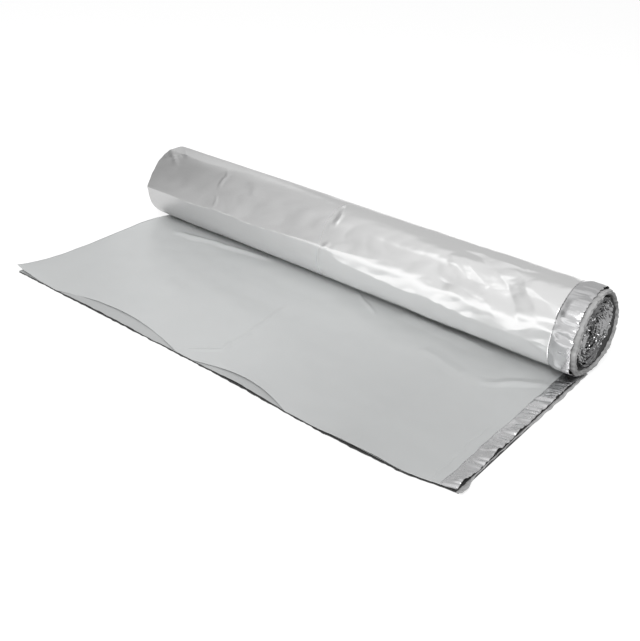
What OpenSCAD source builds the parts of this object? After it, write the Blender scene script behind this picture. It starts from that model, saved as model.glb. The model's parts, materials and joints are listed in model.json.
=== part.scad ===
// Roll of multi-layer foil quilt for laying under floors, partly unrolled.
// The quilt is one continuous sheet: it lies flat from its cut end, passes under
// the roll, climbs its back and winds inwards to an open core.
// X runs along the roll, Y from the cut end towards the roll, and Z up from the floor.
// The origin is at floor level, in the middle of the footprint. Sizes are in millimetres.

/* [Quilt] */
// Width of the quilt, which is the length of the roll
sheet_w = 1200; // [800:10:1500]
// Thickness of the quilt as it is wound
quilt_t = 3.4; // [2.8:0.1:6]
// Length that lies unrolled, from under the roll's axis to the cut end
tail_len = 503; // [350:1:900]

/* [Roll] */
// Outside diameter of the roll
roll_d = 186; // [150:1:260]
// Diameter of the open core
bore_d = 48; // [30:1:70]
// Air gap between one turn and the next
turn_gap = 0.6; // [0.4:0.1:1.2]
// Depth to which the turns stand apart at each end of the roll
turn_relief = 16; // [8:1:30]
// How far the innermost turn sits back from the outer one at each end
core_recess = 14; // [6:1:25]

/* [Layers] */
// Thickness of the upper layer, a film on thin foam
film_t = 1.2; // [0.8:0.1:1.6]
// Height of the open slit under the upper film
slit_t = 0.6; // [0.4:0.1:0.9]
// How far the layers lie open, in from the cut end and the seamed edge
slit_depth = 40; // [20:1:80]
// How far the upper film stops short of the seamed edge
edge_step = 6; // [2:1:15]
// How far the uneven cut of the upper film falls short of the cut end
setback_depth = 32; // [10:1:60]

/* [Lifted film] */
// How high the loose upper film stands off at the cut end
lip_lift = 7; // [4:0.5:12]
// Distance from the cut end over which a lifted stretch dies away
lip_reach = 140; // [80:5:220]

/* [Seam] */
// Distance of the seam from the edge of the quilt
seam_inset = 55; // [35:1:90]
// Width of the pressed seam line
seam_w = 1.6; // [1:0.1:3]
// Depth of the pressed seam line
seam_depth = 0.5; // [0.3:0.1:0.7]

/* [Hidden] */
$fn = 96;

roll_r = roll_d / 2;
bore_r = bore_d / 2;
pitch = quilt_t + turn_gap;
turns = floor((roll_r - bore_r - quilt_t) / pitch);
lower_t = quilt_t - film_t - slit_t;
edge_x = sheet_w / 2;
seam_x = edge_x - seam_inset;
// Overlap that carries a cut clear past the face it opens
past = 1;

// Stretches where the upper film falls short of the cut end. Middle and width are shares
// of the sheet's width, and depth is a share of the set-back's depth
setbacks = [[-0.215, 0.325, 1], [0.0875, 0.2, 0.75]];
// Stretches where the upper film lifts off the layers below: middle, width, in the same shares
lips = [[-0.215, 0.275], [0.0875, 0.18], [0.355, 0.19]];

// Radius of the arc with the given chord and rise
function arc_r(chord, rise) = (chord * chord / 4 + rise * rise) / (2 * rise);

// Places a section drawn in Y and Z, extruded along the roll from x.
// The pieces below are drawn with the roll's axis over y = 0
module along_roll(x, length) {
    translate([x, 0, 0]) rotate([90, 0, 90]) linear_extrude(length) children();
}

// One half of a round section: the back half for side = 1, the front half for side = -1
module half_plane(side) {
    translate([side > 0 ? 0 : -roll_d, -roll_d]) square([roll_d, 4 * roll_d]);
}

// Half of a ring: back halves centre on the axis, front halves half a pitch above it,
// so that a turn that leaves one half enters the next a pitch further in
module half_ring(side, r_in, r_out) {
    intersection() {
        translate([0, roll_r + (side > 0 ? 0 : pitch / 2)]) difference() {
            circle(r_out);
            circle(r_in);
        }
        half_plane(side);
    }
}

// Outline of the wound roll, without its core
module wound_section() {
    intersection() {
        translate([0, roll_r]) circle(roll_r);
        half_plane(1);
    }
    intersection() {
        translate([0, roll_r + pitch / 2]) circle(roll_r - pitch / 2);
        half_plane(-1);
    }
}

// The spiral of air between the turns, from the nip at the floor to the core
module winding_gap() {
    for (k = [1 : turns]) {
        half_ring(1, roll_r - k * pitch, roll_r - k * pitch + turn_gap);
        half_ring(-1, roll_r - (k + 0.5) * pitch, roll_r - (k + 0.5) * pitch + turn_gap);
    }
}

// The open core, and the ends of the turns, which step back towards it
module core_cut() {
    translate([-edge_x - past, 0, roll_r]) rotate([0, 90, 0])
        cylinder(r = bore_r, h = sheet_w + 2 * past);
    for (side = [-1, 1])
        translate([side * edge_x, 0, roll_r]) rotate([0, -side * 90, 0])
            cylinder(r1 = roll_r - 1.5 * pitch, r2 = bore_r, h = core_recess);
}

// The seam where it goes round the outside of the roll
module seam_round_roll() {
    along_roll(seam_x - seam_w / 2, seam_w) {
        half_ring(1, roll_r - seam_depth, roll_r + past);
        half_ring(-1, roll_r - pitch / 2 - seam_depth, roll_r - pitch / 2 + past);
    }
}

// The wound part of the quilt
module wound_roll() {
    relief = core_recess + turn_relief;
    difference() {
        along_roll(-edge_x, sheet_w) wound_section();
        core_cut();
        along_roll(-edge_x - past, relief + past) winding_gap();
        along_roll(edge_x - relief, relief + past) winding_gap();
        seam_round_roll();
    }
}

// Plan of the upper film, with its uneven cut end
module film_plan() {
    difference() {
        translate([-edge_x, -tail_len]) square([sheet_w - edge_step, tail_len]);
        for (s = setbacks) {
            depth = s[2] * setback_depth;
            r = arc_r(s[1] * sheet_w, depth);
            translate([s[0] * sheet_w, depth - r - tail_len]) circle(r);
        }
    }
}

// A long round rib that rises out of the sheet towards the cut end,
// grown or shrunk by inset for the two faces of the lifted film
module rib(middle, width, inset) {
    r = arc_r(width, lip_lift);
    tilt = atan(lip_lift / lip_reach);
    translate([middle, -tail_len, quilt_t + lip_lift]) rotate([-90 - tilt, 0, 0])
        translate([0, r, -lip_reach]) cylinder(r = r - inset, h = 3 * lip_reach);
}

// The upper film: flat, with lifted stretches that stand hollow off the layers below
module upper_film() {
    difference() {
        union() {
            translate([0, 0, lower_t + slit_t]) linear_extrude(film_t) film_plan();
            for (p = lips)
                intersection() {
                    rib(p[0] * sheet_w, p[1] * sheet_w, 0);
                    translate([0, 0, lower_t + slit_t]) linear_extrude(2 * lip_lift) film_plan();
                }
        }
        for (p = lips) rib(p[0] * sheet_w, p[1] * sheet_w, film_t);
    }
}

// The unrolled part of the quilt: bonded inside, with its layers open along two edges
module tail() {
    difference() {
        union() {
            translate([-edge_x, -tail_len, 0]) cube([sheet_w, tail_len, lower_t]);
            translate([-edge_x, slit_depth - tail_len, 0])
                cube([sheet_w - slit_depth, tail_len - slit_depth, quilt_t - film_t]);
            upper_film();
        }
        translate([seam_x - seam_w / 2, -tail_len - past, quilt_t - seam_depth])
            cube([seam_w, tail_len + past, past]);
    }
}

// The whole quilt, moved so that its footprint is centred
module insulation_roll() {
    color("silver") translate([0, (tail_len - roll_r) / 2, 0]) union() {
        wound_roll();
        tail();
    }
}

insulation_roll();
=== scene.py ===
# Looks of a partly unrolled roll of foil quilt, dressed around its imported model.
# Metres, in the model's frame: X along the roll, Y from the cut end to the roll, Z up.
import json
import math

import bpy
import numpy as np
from mathutils import Matrix, Vector


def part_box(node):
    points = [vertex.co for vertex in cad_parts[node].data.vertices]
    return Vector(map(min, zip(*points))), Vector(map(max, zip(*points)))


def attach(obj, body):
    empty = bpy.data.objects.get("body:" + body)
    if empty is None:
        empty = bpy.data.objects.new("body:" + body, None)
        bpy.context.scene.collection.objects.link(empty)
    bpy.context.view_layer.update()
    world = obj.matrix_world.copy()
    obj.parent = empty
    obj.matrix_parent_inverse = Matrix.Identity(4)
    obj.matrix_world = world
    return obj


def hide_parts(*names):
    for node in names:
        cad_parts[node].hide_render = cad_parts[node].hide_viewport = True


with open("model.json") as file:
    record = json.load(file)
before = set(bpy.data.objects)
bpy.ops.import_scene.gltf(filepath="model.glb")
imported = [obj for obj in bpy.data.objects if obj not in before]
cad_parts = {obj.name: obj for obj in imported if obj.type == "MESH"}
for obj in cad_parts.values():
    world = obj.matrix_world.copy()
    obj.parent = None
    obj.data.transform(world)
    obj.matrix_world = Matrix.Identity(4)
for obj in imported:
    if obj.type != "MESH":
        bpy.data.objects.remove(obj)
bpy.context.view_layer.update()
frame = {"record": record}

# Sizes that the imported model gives
NODE = "insulation_roll"
low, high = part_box(NODE)
core = next(m for m in frame["record"]["mounts"] if m["name"] == "core")
AXIS_Y = core["pos_m"][1]
ROLL_R = core["pos_m"][2]
BORE_R = core["dims"]["r_mm"] / 1000
EDGE_X = high.x
CUT_Y = low.y

# Build of the quilt, as in the model
QUILT_T = 0.0034
PITCH = 0.0040
SEAM_X = EDGE_X - 0.055
# Thickness of one film
FILM_T = 0.0003

# Where the crinkled edge strip starts on the tail, and where it ends on the tail and on the roll
HEM_X = EDGE_X - 0.033
TAIL_STRIP_X = EDGE_X - 0.005
ROLL_STRIP_X = EDGE_X - 0.009

# Stretches where the upper film falls short of the cut end: middle, width, depth
SETBACKS = [(-0.258, 0.390, 0.034), (0.112, 0.250, 0.023)]
# Stretches where the films lift off the padding at the cut end: middle, width, height
LIPS = [(-0.30, 0.34, 0.0035), (0.12, 0.24, 0.0055), (0.40, 0.28, 0.0060)]
# How far a lifted stretch runs in from the cut end
LIP_REACH = 0.10
# Creases in the tail's upper film: route, flank on its left, flank on its right, height
TAIL_CREASES = [
    ([(-0.500, 0.102), (-0.400, 0.124), (-0.200, 0.162)], 0.016, 0.014, 0.0050),
    ([(0.037, 0.172), (0.150, 0.100)], 0.006, 0.009, 0.0022),
    ([(0.170, 0.156), (0.300, 0.150), (0.430, 0.142)], 0.024, 0.030, 0.0040),
    ([(0.450, 0.020), (0.500, 0.060), (0.560, 0.112)], 0.020, 0.014, 0.0035),
    ([(0.490, 0.000), (0.530, -0.040), (0.565, -0.110)], 0.016, 0.022, 0.0009),
    ([(0.300, 0.060), (0.420, 0.020)], 0.026, 0.020, 0.0020),
    ([(-0.070, -0.295), (0.001, -0.230), (-0.006, -0.150), (-0.030, 0.020)], 0.006, 0.009, 0.0024),
    ([(SEAM_X, -0.320), (SEAM_X, -0.080)], 0.0030, 0.0030, -0.0009),
]
# Flats pressed on the roll: start and end as (x, degrees above the front), half angle,
# the edge that is soft, 1 for its upper and -1 for its lower one, and how slowly its ends widen
FLATS = [
    ((0.01, 9), (0.75, 6), 16, 1, 0.12),
    ((-1.40, 12), (0.14, 26), 19, 1, 0.25),
    ((-1.20, -30), (0.06, 4), 12, -1, 0.25),
    ((-0.75, 88), (-0.22, 94), 12, 1, 0.35),
    ((-0.80, 128), (-0.44, 124), 14, 1, 0.35),
]
# Dents of the roll: place along it, degrees above the front, half length,
# half width in degrees, and depth, which is below 0 where the film bulges
DENTS = [
    (0.320, -34, 0.300, 18, -0.0040),
    (-0.620, 62, 0.200, 30, 0.0055),
    (0.285, 25, 0.024, 10, 0.0018),
    (0.350, 48, 0.040, 14, 0.0020),
]
# The long trough that runs down the front of the roll near its seamed end
TROUGH = [(0.16, 91), (0.27, 86), (0.338, 76), (0.39, 63), (0.426, 48), (0.462, 22), (0.481, 2)]
# Creases in the roll's film: route as (x, degrees above the front), flank before,
# flank after, height
ROLL_CREASES = [
    (TROUGH, 0.050, 0.034, -0.0040),
    ([(0.462, 66), (0.482, 54), (0.512, 42), (0.545, 26)], 0.030, 0.034, 0.0015),
    ([(0.300, 84), (0.376, 81), (0.420, 82), (0.520, 86)], 0.008, 0.016, 0.0016),
    ([(0.275, 66), (0.300, 54), (0.335, 40)], 0.012, 0.018, 0.0011),
    ([(0.300, 70), (0.340, 54), (0.385, 38)], 0.014, 0.020, 0.0013),
    ([(0.250, 36), (0.280, 27), (0.330, 24), (0.400, 16)], 0.016, 0.026, -0.0012),
    ([(-0.024, 96), (-0.016, 71), (-0.008, 44)], 0.012, 0.007, 0.0015),
    ([(-0.004, 22), (-0.019, 5), (-0.030, -12)], 0.010, 0.008, 0.0011),
    ([(-0.380, 80), (-0.366, 62), (-0.372, 42)], 0.006, 0.010, 0.0010),
    ([(-0.372, 30), (-0.366, 18), (-0.370, 4)], 0.006, 0.010, 0.0006),
    ([(-0.570, 96), (-0.520, 72)], 0.008, 0.012, 0.0024),
    ([(-0.600, 82), (-0.562, 66), (-0.535, 52)], 0.008, 0.010, 0.0022),
    ([(-0.592, 58), (-0.556, 70), (-0.540, 84)], 0.008, 0.012, 0.0018),
    ([(-0.300, 74), (-0.270, 60), (-0.262, 44)], 0.012, 0.018, 0.0006),
]

# Noise and simple curves
NOISE_CELLS = 256
# Brings the noise to about -1 to 1
NOISE_GAIN = 1.5
# Middle of the ring that ring noise is read on, in the noise's own plane
RING_MIDDLE = 50
# How far what is drawn on a film strays from straight, and the length of one such bend
STRAY = 0.006
STRAY_LENGTH = 0.045


def fade(t):
    """Smooth curve from 0 to 1, flat at both ends."""
    return t**3 * (t * (6 * t - 15) + 10)


def noise(u, v, seed):
    """Smooth noise over a plane, from about -1 to 1, one bump to each unit."""
    angle = np.random.default_rng(seed).uniform(0, 2 * np.pi, (NOISE_CELLS, NOISE_CELLS))
    cell_u = np.floor(u).astype(int)
    cell_v = np.floor(v).astype(int)
    in_u = u - cell_u
    in_v = v - cell_v
    far_u = fade(in_u)
    far_v = fade(in_v)
    total = np.zeros(np.broadcast(u, v).shape)
    # Each corner of a cell has a slope of its own, and the four are blended across the cell
    for du in (0, 1):
        for dv in (0, 1):
            a = angle[(cell_u + du) % NOISE_CELLS, (cell_v + dv) % NOISE_CELLS]
            slope = np.cos(a) * (in_u - du) + np.sin(a) * (in_v - dv)
            total += slope * (far_u if du else 1 - far_u) * (far_v if dv else 1 - far_v)
    return NOISE_GAIN * total


def line_noise(u, seed):
    """The same noise along a line."""
    return noise(u, 0 * u + 0.5, seed)


def ring_noise(phi, bumps, seed):
    """Noise round a ring that meets itself, with some bumps to each radian."""
    return noise(bumps * np.cos(phi) + RING_MIDDLE, bumps * np.sin(phi) + RING_MIDDLE, seed)


def swell(u, v, height, length_u, length_v, seed):
    """Waves over a plane, one bump to each length."""
    return height * noise(u / length_u, v / length_v, seed)


def sway(u, height, length, seed):
    """Waves along a line, one bump to each length."""
    return height * line_noise(u / length, seed)


def crumple(u, v, seed, octaves=3):
    """Foil-like relief, flat facets that meet in sharp folds, from about 0 to 1."""
    return sum(np.abs(noise(u * 2**i, v * 2**i, seed + i)) / 2**i for i in range(octaves))


def step(value, start, end):
    """Smooth rise from 0 at start to 1 at end."""
    t = np.clip((value - start) / (end - start), 0, 1)
    return t * t * (3 - 2 * t)


def bump(value, middle, width):
    """Smooth hump of height 1 that is width wide."""
    t = np.clip(2 * (value - middle) / width, -1, 1)
    return (1 - t * t) ** 2


def stray(u, v, seed):
    """The same places shifted a little, so that what is drawn on them is not quite straight."""
    shift_u = swell(u, v, STRAY, STRAY_LENGTH, STRAY_LENGTH, seed)
    shift_v = swell(u, v, STRAY, STRAY_LENGTH, STRAY_LENGTH, seed + 1)
    return u + shift_u, v + shift_v


def crease(u, v, route, before, after, height):
    """A sharp fold along a route, with a flat flank on each side, that dies away at both ends."""
    nearest = np.full(np.broadcast(u, v).shape, np.inf)
    side = np.zeros_like(nearest)
    place = np.zeros_like(nearest)
    legs = len(route) - 1
    for leg in range(legs):
        du = route[leg + 1][0] - route[leg][0]
        dv = route[leg + 1][1] - route[leg][1]
        from_u = u - route[leg][0]
        from_v = v - route[leg][1]
        along = np.clip((from_u * du + from_v * dv) / (du**2 + dv**2), 0, 1)
        gap = np.hypot(from_u - along * du, from_v - along * dv)
        closer = gap < nearest
        nearest = np.where(closer, gap, nearest)
        side = np.where(closer, from_u * dv - from_v * du, side)
        place = np.where(closer, (leg + along) / legs, place)
    flank = np.where(side > 0, after, before)
    return height * np.clip(1 - nearest / flank, 0, 1) * (1 - (2 * place - 1) ** 4)


# Shape of the tail
# The cut end bows out towards its seamed corner, and runs back at the corner itself
CUT_BOW = 0.010
CUT_BOW_X = 0.36
CUT_BOW_REACH = 0.22
CUT_CORNER = 0.014
CUT_CORNER_SPAN = (0.48, 0.60)
# The roll presses on the tail as far as this from under its axis,
# and by these distances the film, its creases and the edge strip have come free
NIP_GAP = 0.015
FILM_FREE = 0.10
CREASE_FREE = 0.05
STRIP_FREE = 0.08
# How high the film floats, and how far its edge and its corner turn up at the plain end
FILM_FLOAT = 0.0006
EDGE_RISE = 0.006
EDGE_RISE_SPAN = (-0.12, 0.10)
EDGE_RISE_REACH = 0.10
CORNER_RISE = 0.014
CORNER_REACH = 0.13


def cut_line(x):
    """Where the layers end at the cut, which is not quite straight."""
    bow = CUT_BOW * np.exp(-(((x - CUT_BOW_X) / CUT_BOW_REACH) ** 2))
    return CUT_Y - bow + CUT_CORNER * step(x, *CUT_CORNER_SPAN)


def film_line(x):
    """Where the upper film ends at the cut."""
    line = cut_line(x) + sway(x, height=0.0008, length=0.03, seed=3)
    for middle, width, depth in SETBACKS:
        t = np.clip(2 * (x - middle) / width, -1, 1)
        line = line + depth * (1 - t * t)
    return line


def lip_lift(x, y):
    """Height to which the loose films rise towards the cut end."""
    near = np.exp(-np.clip(y - cut_line(x), 0, None) / LIP_REACH)
    return near**2 * sum(height * bump(x, middle, width) for middle, width, height in LIPS)


def tail_relief(x, y):
    """Height of the tail's upper film above where it would lie flat."""
    room = step(AXIS_Y - y, NIP_GAP, FILM_FREE)
    crease_room = step(AXIS_Y - y, NIP_GAP, CREASE_FREE)
    long_waves = swell(x, y, height=0.0012, length_u=0.17, length_v=0.12, seed=11)
    short_waves = swell(x, y, height=0.0009, length_u=0.06, length_v=0.05, seed=12)
    creases = sum(crease(*stray(x, y, seed=13), *c) for c in TAIL_CREASES)
    edge = EDGE_RISE * step(y, *EDGE_RISE_SPAN) * np.exp(-(x + EDGE_X) / EDGE_RISE_REACH)
    from_corner = np.hypot(x + EDGE_X, y - CUT_Y)
    corner = CORNER_RISE * np.clip(1 - from_corner / CORNER_REACH, 0, 1) ** 2
    loose = room * (FILM_FLOAT + long_waves + short_waves + edge)
    return loose + crease_room * creases + corner + lip_lift(x, y)


# Shape of the roll
# Angle round the roll, from under its axis, at which its front is level with the axis
FRONT_ANGLE = 270
# Angles in radians over which the outer film comes free of the tail, and of the nip
LIFT_OFF_SPAN = (0.10, 0.70)
NIP_SPAN = (0.12, 0.60)
# Height of the outer film's ripples, and what is added to it towards the seamed end
RIPPLE = 0.0009
RIPPLE_ADDED = 0.0006
RIPPLE_SPAN = (-0.05, 0.35)
# How far the gathers of the seam reach along the roll
GATHER_REACH = 0.020
# Half angle that a flat still has at its two ends
FLAT_LEAST = 0.01


def roll_angle(rise):
    """Angle round the roll from under its axis, for degrees above the front."""
    return np.radians(FRONT_ANGLE - np.asarray(rise, float))


def rise_at(phi):
    """Degrees above the front, for an angle round the roll from under its axis."""
    return FRONT_ANGLE - np.degrees(phi)


def flat(x, rise, start, end, half_angle, soft_edge, widening):
    """A flat on the roll with rounded ends, one sharp edge and one soft one."""
    t = np.clip((x - start[0]) / (end[0] - start[0]), 0, 1)
    half = half_angle * bump(t, 0.5, 1.0) ** widening + FLAT_LEAST
    drift = sway(x, height=2.5, length=0.11, seed=24)
    middle = start[1] + (end[1] - start[1]) * t + drift
    off = soft_edge * (rise - middle)
    depth = 1 - np.cos(np.radians(half))
    sharp = 1 - np.cos(np.radians(half)) / np.cos(np.radians(np.clip(-off, 0, half)))
    soft = depth * bump(off, 0, 4 * half)
    return -ROLL_R * np.where(off < 0, sharp, soft)


def dent(x, rise, at, angle, half_length, half_width, depth):
    """A soft hollow in the roll."""
    return -depth * np.exp(-(((x - at) / half_length) ** 2) - ((rise - angle) / half_width) ** 2)


def roll_route(route):
    """A route of (x, degrees above the front) as metres along and round the roll."""
    return [(x, ROLL_R * float(roll_angle(rise))) for x, rise in route]


def roll_relief(x, phi):
    """How far the outer turn stands off the plain spiral, with its flats, dents and creases."""
    arc = ROLL_R * phi
    rise = rise_at(phi)
    free = step(phi, *LIFT_OFF_SPAN) * step(2 * np.pi - phi, *NIP_SPAN)
    waves = swell(x, arc, height=0.0008, length_u=0.22, length_v=0.10, seed=21)
    ripple_height = RIPPLE + RIPPLE_ADDED * step(x, *RIPPLE_SPAN)
    ripples = ripple_height * crumple(x / 0.10 + arc / 0.16, arc / 0.080, seed=22, octaves=2)
    by_seam = np.exp(-np.abs(SEAM_X - x) / GATHER_REACH)
    gathers = by_seam * swell(arc, x, height=0.0010, length_u=0.018, length_v=0.06, seed=23)
    flats = sum(flat(x, rise, *f) for f in FLATS)
    dents = sum(dent(x, rise, *d) for d in DENTS)
    places = stray(x, arc, seed=25)
    creases = sum(crease(*places, roll_route(route), *size) for route, *size in ROLL_CREASES)
    return free * (waves + ripples + gathers + flats + dents + creases)


def roll_point(x, phi, lift):
    """Points on the outer turn, lift metres out from its face."""
    front = phi > np.pi
    radius = np.where(front, ROLL_R - PITCH / 2, ROLL_R) + lift
    centre = np.where(front, ROLL_R + PITCH / 2, ROLL_R)
    return np.stack([x, AXIS_Y + radius * np.sin(phi), centre - radius * np.cos(phi)], -1)


def wound_point(x, phi, radius):
    """Points on the turns inside the outer one."""
    centre = ROLL_R + PITCH / 2
    return np.stack([x, AXIS_Y + radius * np.sin(phi), centre - radius * np.cos(phi)], -1)


# Making meshes
def add_piece(name, points, faces, material, thickness=0.0):
    """A smooth mesh piece that rides on the part and stands for its node."""
    mesh = bpy.data.meshes.new(name)
    mesh.from_pydata(points.reshape(-1, 3).tolist(), [], faces)
    mesh.validate()
    mesh.shade_smooth()
    mesh.materials.append(material)
    piece = bpy.data.objects.new(name, mesh)
    bpy.context.scene.collection.objects.link(piece)
    if thickness:
        solid = piece.modifiers.new("film", "SOLIDIFY")
        solid.thickness = thickness
        solid.offset = -1
    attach(piece, "root")
    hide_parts(NODE)
    return piece


def grid_faces(rows, columns, wrap=False, close=False):
    """Quads of a grid of points: wrap joins last column to first, and close last row to first."""
    down = rows if close else rows - 1
    across = columns if wrap else columns - 1
    i, j = np.meshgrid(np.arange(down), np.arange(across), indexing="ij")
    k = (j + 1) % columns
    n = (i + 1) % rows
    quads = [i * columns + j, i * columns + k, n * columns + k, n * columns + j]
    return np.stack(quads, -1).reshape(-1, 4).tolist()


def add_sheet(name, points, material, thickness):
    """A piece made of one open grid of points."""
    rows, columns = points.shape[:2]
    return add_piece(name, points, grid_faces(rows, columns), material, thickness)


def around_roll(count):
    """Angles evenly round the roll, without the last, which is the first again."""
    return np.linspace(0, 2 * np.pi, count, endpoint=False)


# Materials
# Places on a colour ramp for its two colours: for a value along the roll, and for a noise
FULL_SPAN = (0, 1)
NOISE_SPAN = (0.3, 0.7)


def grey(level):
    """An even grey."""
    return (level, level, level)


def new_material(name, base, metallic, roughness, specular=0.5):
    """A material with its plain values set on the shader."""
    material = bpy.data.materials.new(name)
    material.use_nodes = True
    shader = material.node_tree.nodes["Principled BSDF"]
    shader.inputs["Base Color"].default_value = (*base, 1)
    shader.inputs["Metallic"].default_value = metallic
    shader.inputs["Roughness"].default_value = roughness
    shader.inputs["Specular IOR Level"].default_value = specular
    return material


def add_span(tree, value, start, end):
    """A value that climbs from 0 to 1 as another goes from start to end."""
    span = tree.nodes.new("ShaderNodeMapRange")
    span.inputs["From Min"].default_value = start
    span.inputs["From Max"].default_value = end
    tree.links.new(value, span.inputs["Value"])
    return span.outputs["Result"]


def add_ramp(tree, value, stops):
    """A colour for a value from 0 to 1, from (place, colour) stops."""
    ramp = tree.nodes.new("ShaderNodeValToRGB")
    elements = ramp.color_ramp.elements
    while len(elements) < len(stops):
        elements.new(0.5)
    for element, (place, colour) in zip(elements, stops):
        element.position = place
        element.color = (*colour, 1)
    tree.links.new(value, ramp.inputs["Fac"])
    return ramp.outputs["Color"]


def noise_node(material, scale, detail=3.0, stretch=(1, 1, 1)):
    """Noise over the object's own space, scale bumps to the metre."""
    nodes = material.node_tree.nodes
    links = material.node_tree.links
    coords = nodes.new("ShaderNodeTexCoord")
    mapping = nodes.new("ShaderNodeMapping")
    mapping.inputs["Scale"].default_value = stretch
    texture = nodes.new("ShaderNodeTexNoise")
    texture.inputs["Scale"].default_value = scale
    texture.inputs["Detail"].default_value = detail
    links.new(coords.outputs["Object"], mapping.inputs["Vector"])
    links.new(mapping.outputs["Vector"], texture.inputs["Vector"])
    return texture.outputs["Fac"]


def along_roll(material, start, end):
    """A value that climbs from 0 to 1 between two places along the roll."""
    tree = material.node_tree
    coords = tree.nodes.new("ShaderNodeTexCoord")
    split = tree.nodes.new("ShaderNodeSeparateXYZ")
    tree.links.new(coords.outputs["Object"], split.inputs["Vector"])
    return add_span(tree, split.outputs["X"], start, end)


def add_bump(material, height, distance, strength):
    """Adds a texture's relief to the shader, on top of what is there."""
    nodes = material.node_tree.nodes
    links = material.node_tree.links
    shader = nodes["Principled BSDF"]
    node = nodes.new("ShaderNodeBump")
    node.inputs["Distance"].default_value = distance
    node.inputs["Strength"].default_value = strength
    links.new(height, node.inputs["Height"])
    if shader.inputs["Normal"].is_linked:
        links.new(shader.inputs["Normal"].links[0].from_socket, node.inputs["Normal"])
    links.new(node.outputs["Normal"], shader.inputs["Normal"])


def vary(material, socket, value, first, last, span=NOISE_SPAN):
    """Lets a value move one of the shader's inputs from a first colour to a last one."""
    tree = material.node_tree
    colour = add_ramp(tree, value, [(span[0], first), (span[1], last)])
    tree.links.new(colour, tree.nodes["Principled BSDF"].inputs[socket])


def film_material():
    """Metallised film on the outside of the roll, glossier towards the seamed end, with painted
    shade that darkens it towards the plain end.
    """
    material = new_material("outer_film", grey(0.92), metallic=0.9, roughness=0.34)
    # Painted shade: the film's colour darkens from the seamed end to the plain end
    painted_shade = along_roll(material, start=-0.60, end=0.04)
    vary(material, "Base Color", painted_shade, grey(0.58), grey(0.93), FULL_SPAN)
    smoothing = along_roll(material, start=-0.30, end=0.10)
    vary(material, "Roughness", smoothing, grey(0.42), grey(0.20), FULL_SPAN)
    add_bump(material, noise_node(material, scale=40, detail=4), distance=0.0006, strength=0.25)
    add_bump(material, noise_node(material, scale=700, detail=2), distance=0.0001, strength=0.15)
    return material


def satin_material(name, shade):
    """Satin film of the tail and of the core, with painted light and shade: a little lighter
    towards the plain end and darker towards the seamed end.
    """
    cool_grey = shade * np.array([0.98, 1.0, 1.0])
    material = new_material(name, cool_grey, metallic=0.20, roughness=0.36, specular=0.7)
    # Painted light and shade along the roll, lighter at the plain end and darker at the seamed end
    painted_shade = along_roll(material, start=0.0, end=0.38)
    vary(material, "Base Color", painted_shade, 1.05 * cool_grey, 0.90 * cool_grey, FULL_SPAN)
    vary(material, "Roughness", noise_node(material, scale=9), grey(0.32), grey(0.40))
    add_bump(material, noise_node(material, scale=30, detail=4), distance=0.0005, strength=0.25)
    add_bump(material, noise_node(material, scale=800, detail=2), distance=0.0001, strength=0.2)
    return material


def foil_material(name, shade, roughness, crinkle):
    """Finely crinkled foil of the edge strips and the wound ends."""
    material = new_material(name, (shade, shade, 1.01 * shade), metallic=1.0, roughness=roughness)
    patches = noise_node(material, scale=40)
    vary(material, "Roughness", patches, grey(0.7 * roughness), grey(1.3 * roughness))
    wrinkles = noise_node(material, scale=110, detail=3, stretch=(0.25, 1, 1))
    add_bump(material, wrinkles, distance=crinkle, strength=0.4)
    return material


def turn_material():
    """Glossy foil of the wound ends, crumpled all over, dark with painted shade of the recessed
    ends.
    """
    material = foil_material("turn_foil", shade=0.32, roughness=0.11, crinkle=0.0025)
    add_bump(material, noise_node(material, scale=130, detail=2), distance=0.0032, strength=0.8)
    return material


def padding_material(name, shade):
    """Soft grey padding between the films."""
    material = new_material(name, grey(shade), metallic=0.0, roughness=0.75)
    patches = noise_node(material, scale=90)
    vary(material, "Base Color", patches, grey(0.8 * shade), grey(1.1 * shade))
    add_bump(material, noise_node(material, scale=110, detail=3), distance=0.0020, strength=0.6)
    add_bump(material, noise_node(material, scale=500, detail=4), distance=0.0006, strength=0.5)
    return material


def thread_material():
    """Dark pressed line of the seam."""
    material = new_material("seam_thread", (0.20, 0.20, 0.205), metallic=0.3, roughness=0.5)
    add_bump(material, noise_node(material, scale=900), distance=0.0002, strength=0.5)
    return material


outer_film = film_material()
satin_film = satin_material("satin_film", shade=0.60)
inner_satin = satin_material("inner_satin", shade=0.49)
strip_foil = foil_material("strip_foil", shade=0.72, roughness=0.22, crinkle=0.0003)
tail_foil = foil_material("tail_foil", shade=0.74, roughness=0.26, crinkle=0.0008)
# Painted shade: the foil of the wound ends is far darker than the same foil on the strips
turn_foil = turn_material()
# Painted shade: the core's satin film is made dark for the shade inside the bore
core_film = satin_material("core_film", shade=0.12)
light_padding = padding_material("light_padding", shade=0.42)
# Painted shade: near-black padding for the gaps between the wound turns
grey_padding = padding_material("grey_padding", shade=0.08)
# Painted shade: near-black padding for the shaded gaps under the films, inside the rims and behind
# the wound turns
dark_padding = padding_material("dark_padding", shade=0.05)
seam_thread = thread_material()

# Layers of the tail
# Heights of the second film and of the padding, their shares of the lift at the cut end,
# and the padding's thickness
INNER_Z = 0.0026
INNER_LIFT = 0.75
PADDING_Z = 0.0021
PADDING_LIFT = 0.15
PADDING_T = 0.0014
# The upper film has close columns from here on, beside the seam
FINE_X = SEAM_X - 0.006
# Heights of the tail strip's sharp and broad wrinkles, and of its free edge
SHARP_WRINKLE = 0.0075
BROAD_WRINKLE = 0.0035
STRIP_RISE = 0.0034
# Level of the crumpled relief that stays at the strip's own height
WRINKLE_LEVEL = 0.30
# How far the strip laps over the film, and how far it may sink into it
HEM_LAP = 0.0030
STRIP_SINK = 0.0004
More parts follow.
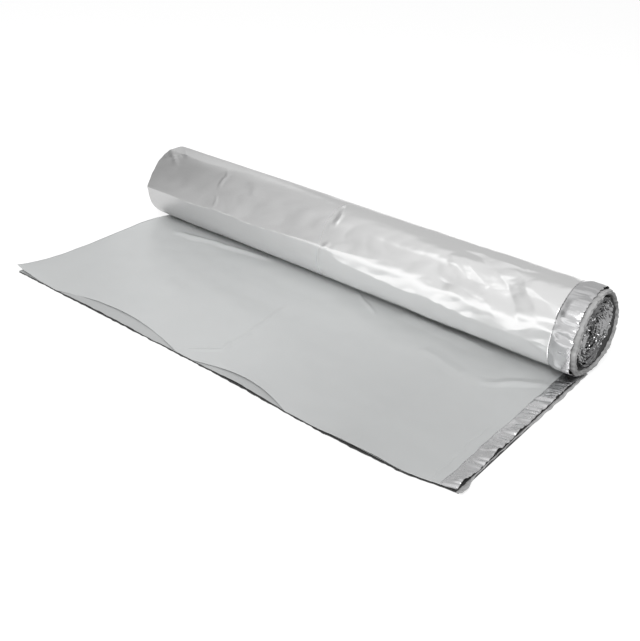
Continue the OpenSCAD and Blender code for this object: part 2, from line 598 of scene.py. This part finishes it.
# Wadding: distance from the cut end, edges, height, crown, thickness, and its tip at the corner
WADDING_START = 0.010
WADDING_IN = EDGE_X - 0.006
WADDING_OUT = EDGE_X - 0.0025
WADDING_Z = 0.0016
WADDING_CROWN = 0.0012
WADDING_T = 0.0012
TIP_REACH = 0.008
TIP_CURL = 0.007


def sheet_rows(x, front, shares):
    """A grid that runs from a front edge to under the roll, with rows at shares of the way."""
    y = front[None, :] + (AXIS_Y - front[None, :]) * shares[:, None]
    return np.broadcast_to(x, y.shape), y


def film_rows(x, count):
    """A grid of the upper film, closer near the cut."""
    return sheet_rows(x, film_line(x), np.linspace(0, 1, count) ** 1.2)


def layer_rows(x, front, count):
    """A grid of a lower layer, closest at the cut."""
    return sheet_rows(x, front, np.linspace(0, 1, count) ** 2)


def tail_point(x, y, base):
    """Points on the tail's upper film, over a base height."""
    return np.stack([x, y, base + tail_relief(x, y)], -1)


def make_tail_film():
    """Upper film of the tail, from the plain end to the strip."""
    coarse = np.linspace(-EDGE_X, FINE_X - 0.002, 270)
    fine = np.linspace(FINE_X, HEM_X, 36)
    x, y = film_rows(np.concatenate([coarse, fine]), 160)
    piece = add_sheet("tail_film", tail_point(x, y, QUILT_T), satin_film, FILM_T)


def make_tail_strip():
    """Crinkled foil along the tail's seamed edge, with wrinkles that run across it."""
    x, y = film_rows(np.linspace(HEM_X, TAIL_STRIP_X, 20), 320)
    room = step(AXIS_Y - y, NIP_GAP, STRIP_FREE)
    out = step(x, HEM_X, TAIL_STRIP_X)
    crumpled = crumple(x / 0.16 + y / 0.12, y / 0.028 - x / 0.10, seed=32, octaves=2)
    sharp = SHARP_WRINKLE * (crumpled - WRINKLE_LEVEL)
    broad = BROAD_WRINKLE * noise(x / 0.08 + y / 0.10, y / 0.060, seed=39)
    loose = (0.5 + 0.5 * out) * step(x, HEM_X, HEM_X + 0.004)
    height = room * (loose * (sharp + broad) + STRIP_RISE * out)
    points = tail_point(x, y, QUILT_T + FILM_T)
    points[..., 0] += out * sway(y, height=0.0022, length=0.012, seed=31)
    points[..., 0] += (1 - out) * (sway(y, height=0.0016, length=0.040, seed=38) - HEM_LAP)
    points[..., 2] += np.maximum(height, -STRIP_SINK)
    piece = add_sheet("tail_edge_strip", points, tail_foil, FILM_T)


def make_inner_film():
    """Second film, which shows where the upper one falls short."""
    across = np.linspace(-EDGE_X + 0.003, HEM_X, 260)
    front = cut_line(across) + 0.0015 + sway(across, height=0.0012, length=0.02, seed=41)
    x, y = layer_rows(across, front, 40)
    z = INNER_Z + INNER_LIFT * lip_lift(x, y)
    piece = add_sheet("inner_film", np.stack([x, y, z], -1), inner_satin, FILM_T)


def make_padding():
    """Padding under the films, with a ragged cut edge, near black with painted shade of the gap
    under the films.
    """
    across = np.linspace(-EDGE_X + 0.006, EDGE_X - 0.001, 420)
    chips = sway(across, height=0.0016, length=0.012, seed=51)
    tufts = 0.0035 * bump(line_noise(across / 0.09, seed=52), middle=0.7, width=0.7)
    x, y = layer_rows(across, cut_line(across) - 0.0005 - chips - tufts, 30)
    z = PADDING_Z + PADDING_LIFT * lip_lift(x, y)
    piece = add_sheet("padding_layer", np.stack([x, y, z], -1), dark_padding, PADDING_T)


def make_wadding():
    """Light wadding that shows past the seamed edge and curls up at the corner."""
    a, t = np.meshgrid(np.linspace(0, 1, 12), np.linspace(0, 1, 260))
    front = CUT_Y + WADDING_START
    y = front + (AXIS_Y - front) * t
    tip = bump(y, middle=front + 0.010, width=0.10)
    bulge = 0.0035 * step(y, -0.08, 0.06)
    ragged = sway(y, height=0.0018, length=0.02, seed=61)
    edge = WADDING_OUT + bulge + ragged + TIP_REACH * tip
    x = WADDING_IN + (edge - WADDING_IN) * a
    crown = WADDING_CROWN * (1 - (2 * a - 1) ** 2)
    lumps = swell(y, x, height=0.0005, length_u=0.012, length_v=0.01, seed=62)
    z = WADDING_Z + crown + lumps + TIP_CURL * tip * a**2
    piece = add_sheet("wadding_edge", np.stack([x, y, z], -1), light_padding, WADDING_T)


# Outer film: under the tail, up the back of the roll, over its top and down its front
# Length of the outer film, and the angle at which it ends in the nip
NIP_ANGLE = 2 * math.pi - 0.02
# How far the outer film stops short of the cut, and how far it bulges out at the plain end
OUTER_SETBACK = 0.004
OUTER_BULGE = 0.008
# Folds of the outer film that turn further than this look sharp
FOLD_ANGLE = math.radians(12)
# Stretches of the outer film with the number of columns in each, closest where it is creased
FILM_SPANS = [
    (-EDGE_X, -EDGE_X + 0.005, 5),
    (-EDGE_X + 0.005, -0.42, 20),
    (-0.42, -0.33, 36),
    (-0.33, -0.05, 42),
    (-0.05, 0.03, 30),
    (0.03, 0.20, 36),
    (0.20, SEAM_X, 126),
]
# Stretches round the roll in the same way, closest on its front and top
ROLL_SPANS = [
    (0, roll_angle(100), 33),
    (roll_angle(100), roll_angle(-60), 108),
    (roll_angle(-60), NIP_ANGLE, 9),
]
# Edge strip on the roll: heights of its puffs and creases, and how far its edge tucks in
PUFF = 0.0060
STRIP_CREASE = 0.0005
STRIP_TUCK = 0.0010
# Angle from which the strip comes free of the tail and of the nip
STRIP_FREE_ANGLE = 0.15


def spaced(spans):
    """Values through all the stretches, each with its own spacing."""
    parts = [np.linspace(start, end, count, endpoint=False) for start, end, count in spans]
    return np.concatenate([*parts, [spans[-1][1]]])


def outer_sheet(across, front, tail_rows, angles):
    """Flat points under the tail, and the places and angles of the points round the roll."""
    tail_x, tail_y = sheet_rows(across, front, np.linspace(0, 1, tail_rows, endpoint=False))
    tail = np.stack([tail_x, tail_y, np.zeros_like(tail_y)], -1)
    x, phi = np.meshgrid(across, angles)
    return tail, x, phi


def make_outer_film():
    """Film on the outside of the quilt, up to the seam."""
    across = spaced(FILM_SPANS)
    front = cut_line(across) + OUTER_SETBACK + sway(across, height=0.002, length=0.02, seed=71)
    tail, x, phi = outer_sheet(across, front, 14, spaced(ROLL_SPANS))
    roll = roll_point(x, phi, roll_relief(x, phi))
    at_end = step(-x, EDGE_X - 0.05, EDGE_X)
    bulge = OUTER_BULGE * bump(rise_at(phi), middle=-15, width=150)
    roll[..., 0] -= at_end * (bulge + sway(phi, height=0.002, length=0.2, seed=72))
    piece = add_sheet("outer_film", np.concatenate([tail, roll]), outer_film, FILM_T)
    piece.data.set_sharp_from_angle(angle=FOLD_ANGLE)


def make_outer_strip():
    """Crinkled foil past the seam: puffs that run along the roll, pinched at the seam."""
    across = np.linspace(SEAM_X, ROLL_STRIP_X, 26)
    front = cut_line(across) + OUTER_SETBACK
    tail, x, phi = outer_sheet(across, front, 60, np.linspace(0, NIP_ANGLE, 420))
    arc = ROLL_R * phi
    off_tail = step(phi, STRIP_FREE_ANGLE, LIFT_OFF_SPAN[1])
    off_nip = step(2 * np.pi - phi, STRIP_FREE_ANGLE, NIP_SPAN[1])
    off_seam = step(x, SEAM_X - 0.002, SEAM_X + 0.018)
    drift = swell(x, arc, height=0.3, length_u=0.03, length_v=0.05, seed=35)
    puffs = np.abs(line_noise(arc / 0.032 + drift, seed=33)) ** 0.8
    creases = crumple(x / 0.05, arc / 0.010, seed=36, octaves=2)
    tuck = STRIP_TUCK * step(x, ROLL_STRIP_X - 0.010, ROLL_STRIP_X) ** 2
    relief = off_seam * (PUFF * puffs + STRIP_CREASE * creases) - tuck
    roll = roll_point(x, phi, roll_relief(x, phi) + off_tail * off_nip * relief)
    broad_edge = sway(phi, height=0.0030, length=0.16, seed=34)
    fine_edge = sway(phi, height=0.0016, length=0.05, seed=37)
    roll[..., 0] += step(x, HEM_X, ROLL_STRIP_X) * (broad_edge + fine_edge)
    piece = add_sheet("outer_edge_strip", np.concatenate([tail, roll]), strip_foil, FILM_T)


# Wound ends
# Which way along the roll the two ends face
SEAMED_SIDE = 1
PLAIN_SIDE = -1
# Turns in from the nip at which the films and the padding between them start and end
FIRST_TURN = 3.9
LAST_TURN = 16.0
FIRST_PADDING = 3.2
LAST_PADDING = LAST_TURN - 0.6
# Share of a pitch that the first of the counted turns lies inside the roll's face
TURN_OFFSET = 0.8
# How deep the films and padding reach in between the turns, and the thickness of both
RIBBON = 0.045
RIBBON_T = 0.0004
END_PADDING_T = 0.0012
# How far the padding lies in from the film edges
END_PADDING_IN = 0.007
# How far in from the roll's end the turns lie, how much deeper the core's hollow is,
# and the turn at which it starts
END_RECESS = 0.003
HOLLOW = 0.016
HOLLOW_START = 11.5
# How far back the outermost of the wound turns lie in the rim
TURN_SHIFT = 0.008
TURN_SHIFT_SPAN = (3.0, 14.0)
# Film edges of the turns: how far they crinkle, fray and run uneven
TURN_CRINKLE = 0.0060
TURN_FRAY = 0.0050
TURN_UNEVEN = 0.0060
# Level of the crumpled relief that stays at the turn's own radius
CRINKLE_LEVEL = 0.45


def wound_radius(turn):
    """Radius of the wound quilt, some turns in from the nip."""
    return ROLL_R - PITCH * (turn + TURN_OFFSET)


def turn_at(radius):
    """Turns in from the nip, for a radius of the wound quilt."""
    return (ROLL_R - radius) / PITCH - TURN_OFFSET


def turn_recess(turn):
    """How far a turn's edge lies in from the roll's end, deepest in the core's hollow."""
    return END_RECESS + HOLLOW * step(turn, HOLLOW_START, LAST_TURN)


def turn_shift(turn):
    """How far back a turn lies, less towards the core."""
    return TURN_SHIFT * (1 - step(turn, *TURN_SHIFT_SPAN))


def end_spiral(first, last, points, rows):
    """Turns and depths of a ribbon that is wound from one turn to another."""
    return np.meshgrid(np.linspace(first, last, points), np.linspace(0, 1, rows))


def make_end_turns(side, name, seed):
    """Crinkled film edges of the wound turns, one spiral from the outer turn to the core."""
    turn, depth = end_spiral(FIRST_TURN, LAST_TURN, points=1936, rows=6)
    phi = 2 * np.pi * turn
    radius = wound_radius(turn) + 0.0012 * noise(turn * 3.1, 0 * turn, seed)
    arc = radius * phi
    loose = (1 - depth) ** 1.5
    crumpled = crumple(arc / 0.011, depth * 1.6 + turn * 3.7, seed + 1, octaves=2)
    crinkle = TURN_CRINKLE * (crumpled - CRINKLE_LEVEL) * loose
    ragged = TURN_FRAY * noise(arc / 0.012, turn * 1.7, seed + 2) * loose
    uneven = TURN_UNEVEN * line_noise(turn * 0.9, seed + 3)
    x = side * (EDGE_X - turn_recess(turn) - RIBBON * depth + ragged + uneven)
    points = wound_point(x, phi, radius + crinkle)
    points[..., 1] += turn_shift(turn)
    piece = add_sheet(name, points, turn_foil, RIBBON_T)


def make_end_padding(side, name, seed):
    """Padding between the wound films, a second spiral set back from the first, near black with
    painted shade of the gaps between the turns.
    """
    turn, depth = end_spiral(FIRST_PADDING, LAST_PADDING, points=1536, rows=4)
    phi = 2 * np.pi * turn
    radius = wound_radius(turn) - PITCH / 2 + 0.0008 * noise(turn * 4.3, 0 * turn, seed)
    ragged = 0.004 * noise(radius * phi / 0.02, turn * 1.3, seed + 1) * (1 - depth)
    x = side * (EDGE_X - turn_recess(turn) - END_PADDING_IN - RIBBON * depth + ragged)
    points = wound_point(x, phi, radius)
    points[..., 1] += turn_shift(turn)
    piece = add_sheet(name, points, grey_padding, END_PADDING_T)


# Rims of the wound ends
# Outside radius, thickness, and length along the roll
RIM_OUT = ROLL_R - PITCH / 2 - 0.0012
RIM_T = 0.0110
RIM_L = 0.046
# How far the rim narrows where the film covers it
RIM_WAIST = 0.0050
# Part of the rim's half length that is its free lip
RIM_LIP_SPAN = (0.1, 0.8)
# Ridges on the lip, and depth of the grooves between them
RIM_RIDGES = 3
RIM_GROOVE = 0.004
# How far the rims stand past the roll's ends, and how much further they flare at the lower back
SEAMED_RIM = (0.002, 0.007)
PLAIN_RIM = (-0.005, 0.0)
# How far the liner starts in from the rim's edge, its share of the rim's length,
# and the gap that is left to the rim
LINER_IN = 0.0055
LINER_SHARE = 1.2
LINER_GAP = 0.0018


def rim_thickness(phi, seed):
    """Thickness of the rim round the roll, thinner at the back."""
    uneven = 0.25 * ring_noise(phi, bumps=2.2, seed=seed + 1)
    thinner = 0.45 * bump(rise_at(phi), middle=180, width=260)
    return RIM_T * (1 + uneven - thinner)


def rim_edge(phi, reach):
    """How far out the rim stands along the roll, and how far it spreads."""
    past, flare = reach
    rise = rise_at(phi)
    edge = EDGE_X + past + flare * bump(rise, middle=205, width=150)
    spread = 0.25 * flare * bump(rise, middle=215, width=120)
    return edge, spread


def make_end_liner(side, name, seed, reach):
    """Inner film of the outer turns, which walls the gap inside the rim, near black with painted
    shade of that gap.
    """
    around = around_roll(240)
    rows = np.linspace(0, 1, 12)
    phi, depth = np.meshgrid(around, rows)
    follow = roll_relief(side * EDGE_X + 0 * phi, phi)
    edge, spread = rim_edge(phi, reach)
    inset = LINER_IN + LINER_SHARE * RIM_L * depth
    lip = step(1 - 2 * inset / RIM_L, *RIM_LIP_SPAN)
    outside = RIM_OUT + follow + lip * spread - RIM_WAIST * (1 - lip)
    radius = outside - rim_thickness(phi, seed) - LINER_GAP
    x = side * (edge - inset + 0.0015 * ring_noise(phi, bumps=9, seed=seed + 4))
    faces = grid_faces(len(rows), len(around), wrap=True)
    piece = add_piece(name, wound_point(x, phi, radius), faces, dark_padding, FILM_T)


def make_end_rim(side, name, seed, reach):
    """Puffed outer turns past the film's edge: a soft ring with ridges on its lip."""
    around = around_roll(320)
    profile = around_roll(64)
    phi, angle = np.meshgrid(around, profile)
    rounded_x = np.sign(np.cos(angle)) * np.abs(np.cos(angle)) ** 0.5
    rounded_r = np.sign(np.sin(angle)) * np.abs(np.sin(angle)) ** 0.7
    lip = step(rounded_x, *RIM_LIP_SPAN)
    layer = np.minimum(np.floor(RIM_RIDGES / 2 * (rounded_r + 1)), RIM_RIDGES - 1)
    ridge = np.sqrt(np.abs(np.cos(RIM_RIDGES / 2 * np.pi * rounded_r)))
    layer_edge = 0.0020 * ring_noise(phi + 2 * layer, bumps=8, seed=seed)
    fine_edge = 0.0012 * ring_noise(phi, bumps=19, seed=seed + 3)
    edge, spread = rim_edge(phi, reach)
    lip_edge = lip * (layer_edge + fine_edge + RIM_GROOVE * (ridge - 1))
    x = edge + lip_edge - RIM_L / 2 + RIM_L / 2 * rounded_x
    thick = rim_thickness(phi, seed)
    uneven = lip * (spread + 0.0022 * ring_noise(phi, bumps=9, seed=seed + 2))
    waist = RIM_WAIST * (1 - lip)
    follow = roll_relief(side * EDGE_X + 0 * phi, phi)
    radius = RIM_OUT - thick / 2 + thick / 2 * rounded_r + uneven - waist + follow
    faces = grid_faces(len(profile), len(around), wrap=True, close=True)
    piece = add_piece(name, wound_point(side * x, phi, radius), faces, light_padding)


# Core, and the packed turns behind the open edges
# How far outside the bore the core's film lies, how far it folds in, and its least radius
CORE_SLACK = 0.004
CORE_FOLD = 0.026
CORE_LEAST_R = 0.003
# How far in from the roll's end the packed turns lie
BACKING_IN = 0.022


def make_core():
    """Crumpled innermost turn, right through the roll, with folds at its mouths, dark with painted
    shade of the bore.
    """
    mouth_x = np.linspace(EDGE_X - 0.100, EDGE_X - 0.012, 50)
    x_line = np.concatenate([-mouth_x[::-1], np.linspace(-0.49, 0.49, 20), mouth_x])
    around = around_roll(144)
    phi, x = np.meshgrid(around, x_line)
    mouth = step(np.abs(x), EDGE_X - 0.09, EDGE_X - 0.02)
    broad_lobes = np.abs(ring_noise(phi + 4 * x, bumps=1.3, seed=81))
    small_lobes = 0.5 * np.abs(ring_noise(phi - 7 * x, bumps=2.6, seed=82))
    folds = mouth * CORE_FOLD * (broad_lobes + small_lobes)
    fine = 0.003 * crumple(x / 0.02, np.cos(phi) * 1.7 + np.sin(phi) * 0.9, seed=83)
    radius = np.maximum(BORE_R + CORE_SLACK - folds - fine, CORE_LEAST_R)
    faces = grid_faces(len(x_line), len(around), wrap=True)
    piece = add_piece("core_turn", wound_point(x, phi, radius), faces, core_film, RIBBON_T)


def make_backing(side, name):
    """Packed turns behind the open edges, one dished ring, near black with painted shade of the
    gaps between the turns.
    """
    radii = np.linspace(BORE_R + 0.002, RIM_OUT - RIM_T - 0.002, 40)
    around = around_roll(160)
    phi, radius = np.meshgrid(around, radii)
    rough = 0.002 * noise(radius / 0.002, np.cos(phi) * 2, seed=91)
    x = side * (EDGE_X - BACKING_IN - turn_recess(turn_at(radius)) + rough)
    faces = grid_faces(len(radii), len(around), wrap=True)
    piece = add_piece(name, wound_point(x, phi, radius), faces, dark_padding)


# Seam
# Length of a dash, gap to the next, half its thickness, and its width
DASH = 0.0065
DASH_GAP = 0.0020
DASH_RISE = 0.0003
SEAM_W = 0.0011
# Angle that the seam's visible line keeps from the nip on both sides
SEAM_CLEAR = 0.25
# Outline of a dash, in shares of its length and width
DASH_CORNERS = [(-0.5, 0), (-0.3, -0.5), (0.3, -0.5), (0.5, 0), (0.3, 0.5), (-0.3, 0.5)]


def dash_mesh(centres, lengthwise, outward):
    """Small flat lozenges laid on a surface, one at each centre."""
    sideways = np.cross(outward, lengthwise)
    corners = len(DASH_CORNERS)
    rings = []
    for lift in (-DASH_RISE, DASH_RISE):
        for a, b in DASH_CORNERS:
            rings.append(centres + lengthwise * a * DASH + sideways * b * SEAM_W + outward * lift)
    faces = []
    for n in range(len(centres)):
        below = [2 * corners * n + k for k in range(corners)]
        above = [corner + corners for corner in below]
        faces.append(below[::-1])
        faces.append(above)
        for k in range(corners):
            following = (k + 1) % corners
            faces.append([below[k], below[following], above[following], above[k]])
    return np.stack(rings, 1), faces


def make_roll_seam():
    """Dashed line of the seam, round the roll."""
    count = int((2 * np.pi - 2 * SEAM_CLEAR) * ROLL_R / (DASH + DASH_GAP))
    phi = np.linspace(SEAM_CLEAR, 2 * np.pi - SEAM_CLEAR, count)
    x = SEAM_X + 0.0012 * line_noise(phi * 5, seed=95)
    centres = roll_point(x, phi, roll_relief(x, phi))
    outward = np.stack([0 * phi, np.sin(phi), -np.cos(phi)], -1)
    lengthwise = np.stack([0 * phi, np.cos(phi), np.sin(phi)], -1)
    points, faces = dash_mesh(centres, lengthwise, outward)
    add_piece("roll_seam", points, faces, seam_thread)


# Stage, camera and light
FLOOR_R = 60
FLOOR_Z = -0.0006
# Grey of the floor under the lamps, and what brings it to white for the camera
FLOOR_SHADE = 0.40
FLOOR_LIFT = 0.71
# Camera, with its angles in radians and its focal length in pixels of the photograph
CAMERA_AT = Vector((1.1180, -1.3409, 0.9561))
CAMERA_YAW = -0.6626
CAMERA_PITCH = 0.5096
CAMERA_ROLL = 0.0457
FOCAL_PX = 898.4
PHOTO_W = 640
SENSOR_W = 36
# Lamps: name, place, what it points at, size, watts
LAMPS = [
    ("key_light", (1.5, -3.3, 4.2), (0, 0, 0), (2.6, 2.6), 186),
    ("top_light", (-0.9, -0.8, 2.8), (0.36, 0.1, 0.2), (0.7, 0.7), 0.55),
    ("back_light", (-1.22, 0.93, 0.65), (-0.45, 0.2, 0.19), (0.7, 0.45), 0.55),
]
# Grey levels of the surroundings from left to right, as (x of the direction, level)
SIDES = [
    (-1.0, 0.12),
    (-0.74, 0.24),
    (-0.66, 0.48),
    (-0.52, 0.66),
    (-0.40, 0.76),
    (0.2, 0.76),
    (1.0, 0.14),
]
# Grey level of the backdrop, and the y of the direction over which it takes over
BACKDROP = 0.52
BACKDROP_SPAN = (0.30, 0.48)


def make_floor():
    """Pale floor that keeps the shadow and shows white to the camera and in reflections."""
    bpy.ops.mesh.primitive_circle_add(
        vertices=64, radius=FLOOR_R, fill_type="NGON", location=(0, 0, FLOOR_Z)
    )
    floor = bpy.context.object
    floor.name = "floor"
    shade = grey(FLOOR_SHADE)
    material = new_material("floor_white", shade, metallic=0.0, roughness=0.9, specular=0.1)
    tree = material.node_tree
    shader = tree.nodes["Principled BSDF"]
    shader.inputs["Emission Color"].default_value = (*grey(1), 1)
    path = tree.nodes.new("ShaderNodeLightPath")
    seen = path.outputs["Is Camera Ray"]
    for ray in ("Is Glossy Ray", "Is Transmission Ray"):
        either = tree.nodes.new("ShaderNodeMath")
        either.operation = "MAXIMUM"
        tree.links.new(seen, either.inputs[0])
        tree.links.new(path.outputs[ray], either.inputs[1])
        seen = either.outputs["Value"]
    lift = tree.nodes.new("ShaderNodeMath")
    lift.operation = "MULTIPLY"
    lift.inputs[1].default_value = FLOOR_LIFT
    tree.links.new(seen, lift.inputs[0])
    tree.links.new(lift.outputs["Value"], shader.inputs["Emission Strength"])
    floor.data.materials.append(material)


def make_camera():
    """Camera at the photograph's place and angle."""
    look = Vector((
        math.sin(CAMERA_YAW) * math.cos(CAMERA_PITCH),
        math.cos(CAMERA_YAW) * math.cos(CAMERA_PITCH),
        -math.sin(CAMERA_PITCH),
    ))
    level = look.cross(Vector((0, 0, 1))).normalized()
    upright = level.cross(look)
    right = math.cos(CAMERA_ROLL) * level + math.sin(CAMERA_ROLL) * upright
    up = -math.sin(CAMERA_ROLL) * level + math.cos(CAMERA_ROLL) * upright
    data = bpy.data.cameras.new("camera")
    data.sensor_fit = "HORIZONTAL"
    data.sensor_width = SENSOR_W
    data.lens = SENSOR_W * FOCAL_PX / PHOTO_W
    camera = bpy.data.objects.new("camera", data)
    camera.matrix_world = Matrix((
        (right.x, up.x, -look.x, CAMERA_AT.x),
        (right.y, up.y, -look.y, CAMERA_AT.y),
        (right.z, up.z, -look.z, CAMERA_AT.z),
        (0, 0, 0, 1),
    ))
    bpy.context.scene.collection.objects.link(camera)
    bpy.context.scene.camera = camera


def add_softbox(name, at, target, size, power):
    """A flat lamp with soft light, pointed at a target."""
    data = bpy.data.lights.new(name, "AREA")
    data.shape = "RECTANGLE"
    data.size, data.size_y = size
    data.energy = power
    lamp = bpy.data.objects.new(name, data)
    lamp.location = at
    lamp.rotation_euler = (Vector(target) - Vector(at)).to_track_quat("-Z", "Y").to_euler()
    bpy.context.scene.collection.objects.link(lamp)


def make_world():
    """Even studio surroundings: a plain backdrop behind the roll, darker to the sides."""
    world = bpy.data.worlds.new("studio")
    bpy.context.scene.world = world
    world.use_nodes = True
    tree = world.node_tree
    coords = tree.nodes.new("ShaderNodeTexCoord")
    split = tree.nodes.new("ShaderNodeSeparateXYZ")
    tree.links.new(coords.outputs["Generated"], split.inputs["Vector"])
    stops = [((x + 1) / 2, grey(level)) for x, level in SIDES]
    sides = add_ramp(tree, add_span(tree, split.outputs["X"], -1, 1), stops)
    both = tree.nodes.new("ShaderNodeMix")
    both.data_type = "RGBA"
    both.inputs["B"].default_value = (*grey(BACKDROP), 1)
    tree.links.new(sides, both.inputs["A"])
    tree.links.new(add_span(tree, split.outputs["Y"], *BACKDROP_SPAN), both.inputs["Factor"])
    tree.links.new(both.outputs["Result"], tree.nodes["Background"].inputs["Color"])


make_camera()
make_floor()
make_world()
for lamp in LAMPS:
    add_softbox(*lamp)

make_tail_film()
make_tail_strip()
make_inner_film()
make_padding()
make_wadding()
make_outer_film()
make_outer_strip()
make_end_turns(SEAMED_SIDE, "seamed_end_turns", seed=100)
make_end_turns(PLAIN_SIDE, "plain_end_turns", seed=200)
make_end_padding(SEAMED_SIDE, "seamed_end_padding", seed=105)
make_end_padding(PLAIN_SIDE, "plain_end_padding", seed=205)
make_end_rim(SEAMED_SIDE, "seamed_end_rim", seed=110, reach=SEAMED_RIM)
make_end_rim(PLAIN_SIDE, "plain_end_rim", seed=210, reach=PLAIN_RIM)
make_end_liner(SEAMED_SIDE, "seamed_end_liner", seed=110, reach=SEAMED_RIM)
make_end_liner(PLAIN_SIDE, "plain_end_liner", seed=210, reach=PLAIN_RIM)
make_core()
make_backing(SEAMED_SIDE, "seamed_end_backing")
make_backing(PLAIN_SIDE, "plain_end_backing")
make_roll_seam()

bpy.context.scene.view_settings.view_transform = "Standard"
